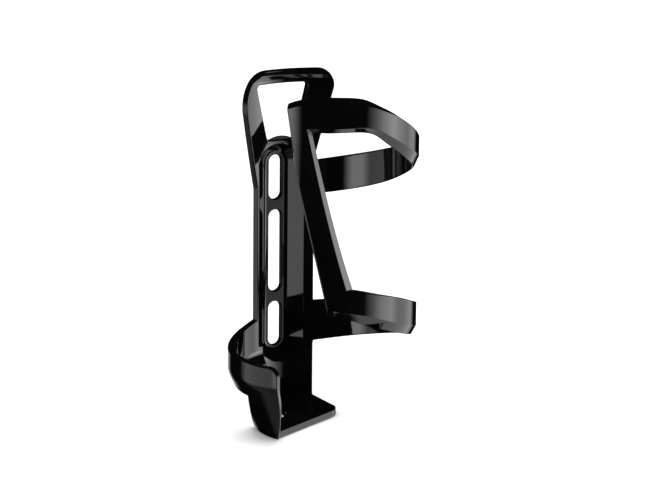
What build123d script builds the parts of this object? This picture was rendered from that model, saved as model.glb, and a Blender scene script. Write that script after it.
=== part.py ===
from build123d import *
import os
from math import atan2, degrees, cos, hypot, radians, sin, tan

os.makedirs("parts", exist_ok=True)

# ---------------------------------------------------------------------------
# Side-load water bottle cage, one glossy moulding.  Millimetres and degrees.
# Origin: midway between the two frame bolts, on the mounting face.
# +X right as seen from the front, +Y back into the bicycle frame, +Z up.
# Angles go round the bottle's axis: 0 at the back, 90 right, 180 front, -90 left.
# ---------------------------------------------------------------------------

# driving sizes
bottle_bore = 72.6            # inside diameter the bottle sits in
wall = 2.9                    # moulded wall
axis_y = -43.0                # bottle's axis, in front of the mounting face
bolt_spacing = 64.0           # standard spacing of the bosses on a bicycle frame
slot_width = 6.0              # clears an M5 bolt
end_slot_length = 19.2
middle_slot_length = 35.6
pad_thickness = 2.3
top_z = 78.7                  # top edge of the loop
foot_z = -66.4                # underside of the shelf
edge_round = 0.5              # softening of the moulded edges
shortest_rounded = 4.0        # shorter edges stay sharp
slight_bend = 15.0            # edges that bend less than this stay as they are

# back plate, stem and loop
rail_angle = -19.2            # left edge of the back plate
wing_angle = 23.8             # right edge of the back plate and stem
stem_left_angle = -13.4
heel_seam_z = -40.0           # the heel leaves the back plate at this height
stem_top_z = -41.5
left_kink_z = 29.0            # the loop splays out above these heights
right_kink_z = 40.0
loop_left_angle = -35.9
loop_right_angle = 39.0
loop_left_round = 14.0
loop_right_round = 7.0
opening_low_z = 49.0
opening_high_z = 73.0
opening_round = 1.5
lip_height = 5.0
lip_reach = 2.0
lip_root = 0.8                # how far the lip is sunk into the wall
lip_crest_drop = 1.6
lip_inset = 1.4               # angle by which the lip stops short of the loop's sides
lip_round = 0.8

# bolt trough
floor_width = 10.2
floor_length = 86.6
trough_draft = 44.0
trough_back_extra = 3.0       # the trough's back is this much wider than its floor
trough_back_depth = 6.0
trough_cut_depth = 8.0
trough_floor_round = 2.0
trough_rim_round = 2.0
trough_width = 22.2           # extent of the trough as a member of its own
trough_length = 98.0
slot_cut_start = 2.0          # behind the mounting face
slot_cut_depth = 12.0

# arms and strut
arm_front_angle = 233.0
lower_arm_end_angle = 207.5
strut_root_z = -14.0
strut_bend_round = 60.0
arm_corner_round = 5.0

# heel and foot
front_angle = -123.0          # front edge of the heel
heel_top_z = -32.6
heel_bottom_z = -48.0
taper_start_z = -42.0         # the heel leans in below this height
taper_slope = 0.46            # radius lost per millimetre of height
fold_outer_round = 9.0
fold_inner_round = 6.0
heel_corner_round = 4.5
toe_round = 9.0
foot_inside_round = 10.5
foot_bend_round = 2.0         # inside the bend from the stem to the shelf

# sizes that follow
wall_in = bottle_bore / 2
wall_out = wall_in + wall
mid_wall = wall_in + wall / 2
shelf_top_z = foot_z + wall
above = 100.0                 # heights and reach safely clear of the part
below = -80.0
beyond = 60.0
gap_angle = 235.0             # no member crosses this angle, so tubes are seamed here


# --- edges -------------------------------------------------------------------
def corner_edges(body):
    """Edges worth rounding: long enough, with the two faces meeting at more than a slight bend."""
    sides = {}
    for face in body.faces():
        for edge in face.edges():
            sides.setdefault(edge, []).append(face)
    corners = []
    for edge, faces in sides.items():
        middle = edge.position_at(0.5)
        if edge.length < shortest_rounded or len(faces) != 2:
            continue
        if faces[0].normal_at(middle).get_angle(faces[1].normal_at(middle)) > slight_bend:
            corners.append(edge)
    return corners


def place_of(edge):
    """Angle, radius and height of the middle of an edge."""
    middle = edge.position_at(0.5)
    return degrees(atan2(middle.X, middle.Y - axis_y)), hypot(middle.X, middle.Y - axis_y), middle.Z


def tight(edge):
    """True where a rounding would run into the next corner."""
    angle, radius, height = place_of(edge)
    behind_opening = abs(angle) < 20 and 38.5 < radius < 40 and 48.6 < height < 73.6
    above_trough = abs(angle) < 10 and 48.6 < height < 51.3 and wall_in + 0.1 < radius < 38.9
    shelf_top = foot_z + 2.2 < height < foot_z + 3.4 and radius < 36
    heel_underside = abs(height - heel_bottom_z) < 0.3 and radius > 36
    stem_corner = -17 < angle < -12.5 and -62 < height < -39 and radius > 36.2 and not (
        radius > 39 and edge.length > 20)
    strut_corner = -172 < angle < -160 and 0 < height < 2.5
    return behind_opening or above_trough or shelf_top or heel_underside or stem_corner or strut_corner


# --- shapes round the bottle's axis ------------------------------------------
def at(angle, radius, height):
    """Point at an angle round the bottle's axis."""
    turn = radians(angle)
    return Vector(radius * sin(turn), axis_y + radius * cos(turn), height)


def sleeve(low, high, inner=wall_in, outer=wall_out):
    """Plain tube round the bottle's axis."""
    upward = (Align.CENTER, Align.CENTER, Align.MIN)
    tube = Cylinder(outer, high - low, align=upward) - Cylinder(inner, high - low, align=upward)
    return Pos(0, axis_y, low) * Rot(0, 0, 90 - gap_angle) * tube


def spun(outline):
    """Solid of revolution from a (radius, height) face."""
    return revolve(Pos(0, axis_y, 0) * (Plane.XZ * outline), Axis((0, axis_y, 0), (0, 0, 1)))


def plan(points, low, high):
    """Upright prism on a plan outline of (x, y) points."""
    return Pos(0, 0, low) * extrude(make_face(Polyline(*points, close=True)), high - low)


def wedge(start, stop, low=below, high=above):
    """Everything between two angles."""
    steps = int(abs(stop - start) / 30) + 1
    rim = [at(start + (stop - start) * step / steps, beyond, 0) for step in range(steps + 1)]
    return plan([(0, axis_y)] + [(point.X, point.Y) for point in rim], low, high)


def slab(low, high):
    """Everything between two heights."""
    return Pos(0, 0, low) * Box(200, 200, high - low, align=(Align.CENTER, Align.CENTER, Align.MIN))


def rounded(shape, spot, radius):
    """Shape with its corner or edge nearest the spot rounded."""
    parts = shape.edges() if isinstance(shape, Part) else shape.vertices()
    return fillet(min(parts, key=lambda part: (part.center() - Vector(*spot)).length), radius)


def punch(outline, facing, radius=wall_out, rounds=()):
    """Prism pushed in toward the axis from one side; the outline is (angle, height) on the wall."""
    points = [(radius * sin(radians(angle - facing)), height, 0) for angle, height in outline]
    face = make_face(Polyline(*points, close=True))
    for index, corner_radius in rounds:
        face = rounded(face, points[index], corner_radius)
    turn = radians(facing)
    side = Plane(origin=at(facing, wall_out + 9, 0), x_dir=(cos(turn), -sin(turn), 0),
                 z_dir=(-sin(turn), -cos(turn), 0))
    return extrude(side * face, wall_out + 7)


def rim_cutter(stations, side):
    """Solid that trims the wall above (side 1) or below (side -1) a rising edge.

    Each station is (angle, height of the inner edge, bevel): the outer edge is set back by the bevel.
    """
    inner_reach = 0.4
    outer_reach = 1.0
    far = above if side > 0 else below
    sections = []
    for angle, height, bevel in stations:
        slope = -side * bevel / wall
        inner_z = height - slope * inner_reach
        outer_z = height + slope * (wall + outer_reach)
        sections.append(Wire.make_polygon([
            at(angle, wall_in - inner_reach, inner_z),
            at(angle, wall_out + outer_reach, outer_z),
            at(angle, wall_out + outer_reach, far),
            at(angle, wall_in - inner_reach, far)], close=True))
    return Solid.make_loft(sections)


def stadium(width, length):
    """Upright slot shape in the XZ plane."""
    return Plane.XZ * Rot(0, 0, 90) * SlotOverall(length, width)


# --- back plate, stem and loop -----------------------------------------------
def loop_outline(inset=0):
    """Everything inside the outer outline of the loop, left and right, drawn in by an angle."""
    left = punch([(rail_angle, left_kink_z), (loop_left_angle + inset, top_z), (3, top_z), (3, left_kink_z)],
                 -22, rounds=((1, loop_left_round),))
    right = punch([(-3, right_kink_z), (-3, top_z), (loop_right_angle - inset, top_z),
                   (wing_angle, right_kink_z)], 25, rounds=((2, loop_right_round),))
    return left, right


def back_wall():
    plate = sleeve(stem_top_z, right_kink_z) & wedge(rail_angle, wing_angle)
    plate = plate - (slab(below, heel_seam_z) & wedge(rail_angle - 5, stem_left_angle))
    stem = sleeve(foot_z, stem_top_z) & wedge(stem_left_angle, wing_angle)
    left, right = loop_outline()
    left_leg = sleeve(left_kink_z, top_z) & left
    right_leg = sleeve(right_kink_z, top_z) & right
    opening = punch([(-9.5, opening_low_z), (-18.8, opening_high_z), (18.3, opening_high_z),
                     (10.5, opening_low_z)], 0, rounds=[(corner, opening_round) for corner in range(4)])
    return plate + stem + left_leg + right_leg - opening


def retaining_lip():
    """Ridge inside the top bar that hooks over the shoulder of the bottle."""
    low = top_z - lip_height
    crest = (wall_in - lip_reach, top_z - lip_crest_drop, 0)
    ridge = make_face(Polyline((wall_in + lip_root, low), crest[:2], (mid_wall, top_z), (mid_wall, low),
                               close=True))
    left, right = loop_outline(lip_inset)
    return spun(rounded(ridge, crest, lip_round)) & (left + right)


# --- bolt trough -------------------------------------------------------------
def flared(front, depth, extra=0.0):
    """Slot shape that starts at a depth in front of the mounting face and widens toward the bottle."""
    widen = extra + 2 * depth * tan(radians(trough_draft))
    base = Pos(0, -front, 0) * stadium(floor_width + extra, floor_length + extra)
    rim = Pos(0, -front - depth, 0) * stadium(floor_width + widen, floor_length + widen)
    return loft([base.face(), rim.face()])


def trough_cutter():
    """Recess with a rounded foot all round its flat floor."""
    cutter = flared(pad_thickness, trough_cut_depth)
    floor_edges = cutter.edges().filter_by_position(Axis.Y, -pad_thickness - 0.01, -pad_thickness + 0.01)
    return fillet(floor_edges, trough_floor_round)


def in_trough(angle, radius, height):
    """True on the rim of the recess."""
    along_side = 15 < abs(angle) < 19 and abs(height) < 1
    across_end = abs(angle) < 8 and 44 < abs(height) < 48.5
    return along_side or across_end


def back_with_trough():
    """Back wall with the recess for the bolts and its softened rim."""
    body = (back_wall() + flared(0, trough_back_depth, trough_back_extra) - trough_cutter()).solid()
    rim = [edge for edge in corner_edges(body)
           if edge.length > 20 and abs(place_of(edge)[1] - wall_in) < 0.1 and in_trough(*place_of(edge))]
    body = Part() + body.fillet(trough_rim_round, rim)
    for slot in bolt_slots():
        body = body - slot
    return body


def bolt_slots():
    end_height = bolt_spacing / 2
    slots = ((end_height, end_slot_length), (0, middle_slot_length), (-end_height, end_slot_length))
    return [Pos(0, slot_cut_start, height) * extrude(stadium(slot_width, length), slot_cut_depth)
            for height, length in slots]


# --- arms --------------------------------------------------------------------
# (angle, height of the inner edge, bevel) along each edge of the two arms and the heel
upper_top = ((14, 39, 0), (24, 39.2, 0), (36, 40.4, 0), (56, 43.3, 0), (78, 47.4, 0), (110, 54.3, 0),
             (135, 61.8, 0.2), (150, 67.6, 1), (162, 72, 1.4), (174, 75.9, 1.9), (184, 79, 2.8),
             (194, 80.1, 3), (206, 80.3, 2.8), (218, 79.8, 2.6), (228, 78.3, 2.6), (238, 75.5, 2.6))
upper_bottom = ((14, 24, 5), (36, 24.3, 5), (53, 26.5, 5.3), (74, 30.7, 5.6), (91, 35.2, 6), (109, 40, 6.4),
                (128, 44.3, 6.4), (142, 48.6, 5.6), (156, 54, 4.8), (168, 59, 4), (176, 62.6, 3.2),
                (184, 64.2, 2.9), (196, 64.5, 2.9), (210, 64.5, 2.9), (224, 64.5, 2.9), (240, 64.5, 2.9))
lower_top = ((14, -22.3, 0), (24, -22.2, 0), (36, -21.6, 0), (60, -20, 0), (85, -17.5, 0), (110, -14, 0),
             (135, -9.8, 0), (151, -6.1, 0), (173, -1.8, 0), (186, 0.5, 0), (200, 1.5, 0), (215, 2, 0))
lower_bottom = ((14, -41.6, 5.5), (24, -41.3, 5.5), (36, -40.2, 5.5), (54, -38, 5.5), (78, -34.6, 5.5),
                (102, -30.9, 5.5), (120, -28.2, 5.5), (135, -25.6, 5.5), (151, -22.6, 5.5), (169, -18.6, 5.5),
                (189, -13.8, 5), (200, -11.3, 4), (215, -9.5, 3))
heel_top = ((-12, -26.5, 0), (-22, -28.3, 0), (-31, -29.7, 0), (-45, -31.2, 0), (-60, -32.3, 0),
            (-80, heel_top_z, 0), (-100, heel_top_z, 0), (-115, heel_top_z, 0), (-130, heel_top_z, 0))


def arms():
    """Upper and lower arm with the strut between them, cut from one tube."""
    strut_left = punch([(204.5, strut_root_z), (224.5, 44), (232.4, 78.4), (215, 80.4), (150, 84),
                        (150, strut_root_z)], 205, rounds=((1, strut_bend_round), (2, arm_corner_round)))
    strut_right = punch([(217, 67.5), (186.5, -1.5), (186.5, strut_root_z), (262, strut_root_z), (262, 84),
                         (217, 84)], 250, radius=wall_in)
    upper = sleeve(15, 95) & wedge(wing_angle, arm_front_angle)
    upper = upper - rim_cutter(upper_bottom, -1)
    lower = sleeve(-50, 20) & wedge(wing_angle, lower_arm_end_angle)
    lower = lower - rim_cutter(lower_top, 1)
    strut = sleeve(strut_root_z, 80) & wedge(180, arm_front_angle + 1) & strut_right
    bands = (upper + lower + strut) & (strut_left + wedge(10, 170))
    return bands - rim_cutter(upper_top, 1) - rim_cutter(lower_bottom, -1)


# --- heel and foot -----------------------------------------------------------
def heel_radius(height):
    """Outer radius of the leaning part of the heel."""
    return wall_out - taper_slope * (taper_start_z - height)


def heel_of_revolution(filled=False):
    """Wall that stands upright, then leans in toward the foot."""
    rim_z = -20
    fold_in_z = taper_start_z - 0.7
    outer = [(wall_out, rim_z), (wall_out, taper_start_z), (heel_radius(foot_z), foot_z)]
    foot_in = heel_radius(foot_z) - wall * hypot(1, taper_slope)
    inner = [(foot_in, foot_z), (wall_in, fold_in_z), (wall_in, rim_z)]
    if filled:
        inner = [(0, foot_z), (0, rim_z)]
    face = make_face(Polyline(*outer, *inner, close=True))
    face = rounded(face, (wall_out, taper_start_z, 0), fold_outer_round)
    if not filled:
        face = rounded(face, (wall_in, fold_in_z, 0), fold_inner_round)
    return spun(face)


def heel():
    shape = heel_of_revolution()
    band = shape & (wedge(front_angle, rail_angle, heel_seam_z, 0) +
                    wedge(front_angle, stem_left_angle, heel_bottom_z, heel_seam_z))
    band = rounded(band - rim_cutter(heel_top, 1), at(front_angle, mid_wall, heel_top_z), heel_corner_round)
    side_wall = shape & plan([(-21.8, -33.2), (-26.6, -33.2), (-35.4, -44.4), (-45, -56.6), (-45, -80),
                              (-21.8, -80)], foot_z, taper_start_z)
    near = at(front_angle, 20, 0)
    far = at(front_angle, 50, 0)
    front_low = [(-21.8, -46.8), (-36.8, -71), (-36.8, -95), (20, -95), (20, -46.8)]
    front_high = [(near.X, near.Y), (far.X, far.Y), (far.X, -95), (20, -95), (20, near.Y)]
    in_front = Solid.make_loft([
        Wire.make_polygon([Vector(x, y, height) for x, y in outline], close=True)
        for outline, height in ((front_low, foot_z), (front_high, taper_start_z))], ruled=True)
    return band + side_wall - in_front


def shelf():
    """L-shaped shelf: forward from the stem, then left to the side wall."""
    face = make_face(Polyline((14, -3), (14, -34.5), (-28, -53.7), (-40, -50), (-40, -35.5), (-8, -35.5),
                              (-8, -3), close=True))
    face = rounded(face, (14, -34.5, 0), toe_round)
    face = rounded(face, (-8, -35.5, 0), foot_inside_round)
    plate = Pos(0, 0, foot_z) * extrude(face, wall)
    behind = sleeve(foot_z, shelf_top_z, 0.01)
    behind = behind & plan([(-8, 0), (14, 0), (14, -40), (-8, -40)], foot_z, shelf_top_z)
    return plate & (heel_of_revolution(filled=True) + behind)


# --- the moulding and its members --------------------------------------------
def whole_cage():
    """The complete moulding: sharp shape first, then its edges, then the lip."""
    body = (back_with_trough() + arms() + heel() + shelf()).solid()
    bend_spot = at(5, wall_in, shelf_top_z)
    bend = min(body.edges(), key=lambda edge: (edge.position_at(0.5) - bend_spot).length)
    body = body.fillet(foot_bend_round, [bend])
    body = body.fillet(edge_round, [edge for edge in corner_edges(body) if not tight(edge)])
    return Part() + body + retaining_lip()


def members():
    """Name and region of every member, taken from the moulding in this order."""
    back = wedge(-45, 45)
    rail_split = rail_angle - 2
    wing_split = wing_angle + 2
    stem_split = stem_left_angle - 2
    trough_outline = stadium(trough_width, trough_length)
    return (
        ("loop_crossbar", back & slab(72.5, above)),
        ("loop_left_leg", wedge(-45, 0, 49, 72.5)),
        ("loop_right_leg", wedge(0, 45, 49, 72.5)),
        ("bolt_trough", Pos(0, slot_cut_start, 0) * extrude(trough_outline, slot_cut_depth)),
        ("left_rail", wedge(rail_split, 0, stem_top_z, -20) + wedge(-30, 0, -20, 49)),
        ("right_wing", wedge(0, wing_split, stem_top_z, 41) + wedge(0, 30, 41, 49)),
        ("stem", sleeve(below, stem_top_z, wall_in - 0.6, beyond) & wedge(stem_split, wing_split)),
        ("strut", wedge(186, 240, 2.3, 64)),
        ("upper_arm_front", wedge(150, 240, 30)),
        ("upper_arm_side", wedge(90, 150, 20)),
        ("upper_arm_root", wedge(wing_split, 90, 10)),
        ("lower_arm_front", wedge(150, 215, -40, 10)),
        ("lower_arm_side", wedge(90, 150, -50, 10)),
        ("lower_arm_root", wedge(wing_split, 90, -50, 0)),
        ("heel_band", slab(-41, 0)),
        ("heel_taper", slab(heel_bottom_z - 0.7, -41)),
        ("foot_side_wall", wedge(-140, -60, foot_z + wall + 0.6, 0)),
        ("foot_shelf", slab(below, 0)),
    )


rest = whole_cage()
for name, region in members():
    piece = rest & region
    rest = rest - region
    export_step(piece, "parts/" + name + ".step")
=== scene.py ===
import bpy
from math import cos, pi, radians, sin
from mathutils import Matrix, Vector

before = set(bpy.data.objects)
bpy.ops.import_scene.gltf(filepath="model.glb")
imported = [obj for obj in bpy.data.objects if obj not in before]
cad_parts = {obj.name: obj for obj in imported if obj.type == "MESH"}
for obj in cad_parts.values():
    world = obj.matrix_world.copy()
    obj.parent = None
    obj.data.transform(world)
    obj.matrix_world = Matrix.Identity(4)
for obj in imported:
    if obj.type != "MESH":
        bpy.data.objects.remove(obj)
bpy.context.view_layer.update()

BOTTLE_AXIS_Y = -0.043        # the bottle's centre line, in front of the mounting face
FOOT_Z = -0.0664              # underside of the shelf, where the floor is
FLOOR_SIZE = 8.0
CEILING_HEIGHT = 2.2
CEILING_SIZE = 4.0
CEILING_WATTS = 170.0

# softboxes round the cage: middle and half width (compass angle seen from the cage, 0 back, 90 right),
# lowest and highest angle above the horizon, brightness
SOFTBOXES = (
    (-78, 32, -20, -6, 1.0),      # wide, left
    (-105, 7, -20, -6, 2.4),      # strip, left
    (20, 10, -20, -6, 0.8),       # behind, right
    (110, 35, -20, -6, 1.5),      # wide, right
    (125, 8, -20, -6, 2.0),       # strip, right
    (112, 8, -4, 8, 3.0),         # small, right, just above the horizon
    (-85, 35, -90, -28, 0.2),     # table's glow, left
    (110, 45, -90, -28, 1.3),     # table's glow, right
)
EDGE = 12                     # softness of a softbox's edge, in degrees

CAMERA_TURN = 29.8            # degrees to the left of straight ahead
CAMERA_TILT = 14.0            # degrees looking down
CAMERA_ROLL = -0.56
CAMERA_DISTANCE = 1.15
LENS = 154.34
SHIFT = (0.0026, 0.0424)


# --- shader helpers ----------------------------------------------------------
def add_node(tree, kind, **settings):
    node = tree.nodes.new(kind)
    for name, value in settings.items():
        setattr(node, name, value)
    return node


def math_node(tree, operation, first, second=None):
    """Math node whose inputs are numbers or other nodes' outputs."""
    node = add_node(tree, "ShaderNodeMath", operation=operation)
    for socket, value in zip(node.inputs, (first, second)):
        if value is None:
            continue
        if isinstance(value, (int, float)):
            socket.default_value = value
        else:
            tree.links.new(value, socket)
    return node.outputs[0]


def ramp(tree, value, stops):
    """Grey ramp through (position, brightness) stops."""
    node = add_node(tree, "ShaderNodeValToRGB")
    points = node.color_ramp.elements
    while len(points) < len(stops):
        points.new(1.0)
    for point, (position, grey) in zip(points, stops):
        point.position = position
        point.color = (grey, grey, grey, 1)
    tree.links.new(value, node.inputs["Fac"])
    return node.outputs["Color"]


def noise(tree, coords, scale, detail):
    node = add_node(tree, "ShaderNodeTexNoise")
    node.inputs["Scale"].default_value = scale
    node.inputs["Detail"].default_value = detail
    tree.links.new(coords, node.inputs["Vector"])
    return node.outputs["Fac"]


# --- moulded plastic ---------------------------------------------------------
def black_plastic():
    """High-gloss black moulding: slightly uneven colour and gloss, with faint waviness."""
    mat = bpy.data.materials.new("moulding_black")
    mat.use_nodes = True
    tree = mat.node_tree
    shader = tree.nodes["Principled BSDF"]
    coords = add_node(tree, "ShaderNodeTexCoord").outputs["Object"]
    shader.inputs["IOR"].default_value = 1.5
    tint = ramp(tree, noise(tree, coords, 60, 4), ((0.35, 0.0011), (0.7, 0.0022)))
    tree.links.new(tint, shader.inputs["Base Color"])
    haze = ramp(tree, noise(tree, coords, 45, 5), ((0.35, 0.035), (0.75, 0.075)))
    tree.links.new(haze, shader.inputs["Roughness"])
    bump = add_node(tree, "ShaderNodeBump")
    bump.inputs["Strength"].default_value = 0.12
    bump.inputs["Distance"].default_value = 0.00004
    tree.links.new(noise(tree, coords, 260, 2), bump.inputs["Height"])
    tree.links.new(bump.outputs["Normal"], shader.inputs["Normal"])
    return mat


def dress_cage():
    plastic = black_plastic()
    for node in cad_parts.values():
        for slot in node.material_slots:
            slot.material = plastic


# --- floor and studio --------------------------------------------------------
def pale_floor():
    """Plain pale floor; the gloss doesn't mirror it and it shades nothing."""
    bpy.ops.mesh.primitive_plane_add(size=FLOOR_SIZE, location=(0, 0, FOOT_Z))
    floor = bpy.context.object
    floor.name = "floor"
    mat = bpy.data.materials.new("floor_white")
    mat.use_nodes = True
    shader = mat.node_tree.nodes["Principled BSDF"]
    shader.inputs["Base Color"].default_value = (0.9, 0.9, 0.9, 1)
    shader.inputs["Specular IOR Level"].default_value = 0.0
    floor.data.materials.append(mat)
    floor.visible_glossy = False
    floor.visible_shadow = False


def ceiling_light():
    """Wide soft light that brightens the floor; the gloss doesn't mirror it."""
    data = bpy.data.lights.new("ceiling_light", "AREA")
    data.shape = "SQUARE"
    data.size = CEILING_SIZE
    data.energy = CEILING_WATTS
    light = bpy.data.objects.new("ceiling_light", data)
    light.location = (0, 0, CEILING_HEIGHT)
    light.visible_glossy = False
    light.visible_camera = False
    bpy.context.scene.collection.objects.link(light)


def softbox_light(tree):
    """Brightness of all softboxes together, by direction."""
    direction = add_node(tree, "ShaderNodeTexCoord").outputs["Generated"]
    split = add_node(tree, "ShaderNodeSeparateXYZ")
    tree.links.new(direction, split.inputs["Vector"])
    x, y, z = split.outputs
    turn = math_node(tree, "ADD", math_node(tree, "DIVIDE", math_node(tree, "ARCTAN2", x, y), 2 * pi), 0.5)
    rise = math_node(tree, "ADD", math_node(tree, "DIVIDE", math_node(tree, "ARCSINE", z), pi), 0.5)

    def window(value, low, high, full_turn):
        """One between two angles, falling to nought over the soft edge."""
        stops = ((low - EDGE, 0), (low, 1), (high, 1), (high + EDGE, 0))
        return ramp(tree, value, [(angle / full_turn + 0.5, level) for angle, level in stops])

    total = 0.0
    for middle, half_width, lowest, highest, brightness in SOFTBOXES:
        across = window(turn, middle - half_width, middle + half_width, 360)
        up = window(rise, lowest, highest, 180)
        panel = math_node(tree, "MULTIPLY", math_node(tree, "MULTIPLY", across, up), brightness)
        total = math_node(tree, "ADD", panel, total)
    return total


def studio():
    """Dark studio with softboxes, as a world that the camera sees as a white backdrop."""
    world = bpy.data.worlds.new("studio")
    bpy.context.scene.world = world
    world.use_nodes = True
    tree = world.node_tree
    lights = tree.nodes["Background"]
    lights.inputs["Strength"].default_value = 1.0
    tree.links.new(softbox_light(tree), lights.inputs["Color"])
    backdrop = add_node(tree, "ShaderNodeBackground")
    backdrop.inputs["Color"].default_value = (1, 1, 1, 1)
    pick = add_node(tree, "ShaderNodeMixShader")
    tree.links.new(add_node(tree, "ShaderNodeLightPath").outputs["Is Camera Ray"], pick.inputs["Fac"])
    tree.links.new(lights.outputs["Background"], pick.inputs[1])
    tree.links.new(backdrop.outputs["Background"], pick.inputs[2])
    tree.links.new(pick.outputs["Shader"], tree.nodes["World Output"].inputs["Surface"])
    bpy.context.scene.view_settings.view_transform = "Standard"


# --- camera ------------------------------------------------------------------
def place_camera():
    """Camera at the photograph's viewing angle, aimed at the bottle's centre line."""
    data = bpy.data.cameras.new("camera")
    data.lens = LENS
    data.shift_x, data.shift_y = SHIFT
    data.clip_end = 20
    camera = bpy.data.objects.new("camera", data)
    bpy.context.scene.collection.objects.link(camera)
    bpy.context.scene.camera = camera
    turn = radians(CAMERA_TURN)
    tilt = radians(CAMERA_TILT)
    forward = Vector((sin(turn) * cos(tilt), cos(turn) * cos(tilt), -sin(tilt)))
    right = Vector((cos(turn), -sin(turn), 0))
    upright = Matrix((right, right.cross(forward), -forward)).transposed()
    camera.location = Vector((0, BOTTLE_AXIS_Y, 0)) - forward * CAMERA_DISTANCE
    camera.rotation_euler = (Matrix.Rotation(radians(CAMERA_ROLL), 3, forward) @ upright).to_euler()


dress_cage()
pale_floor()
ceiling_light()
studio()
place_camera()
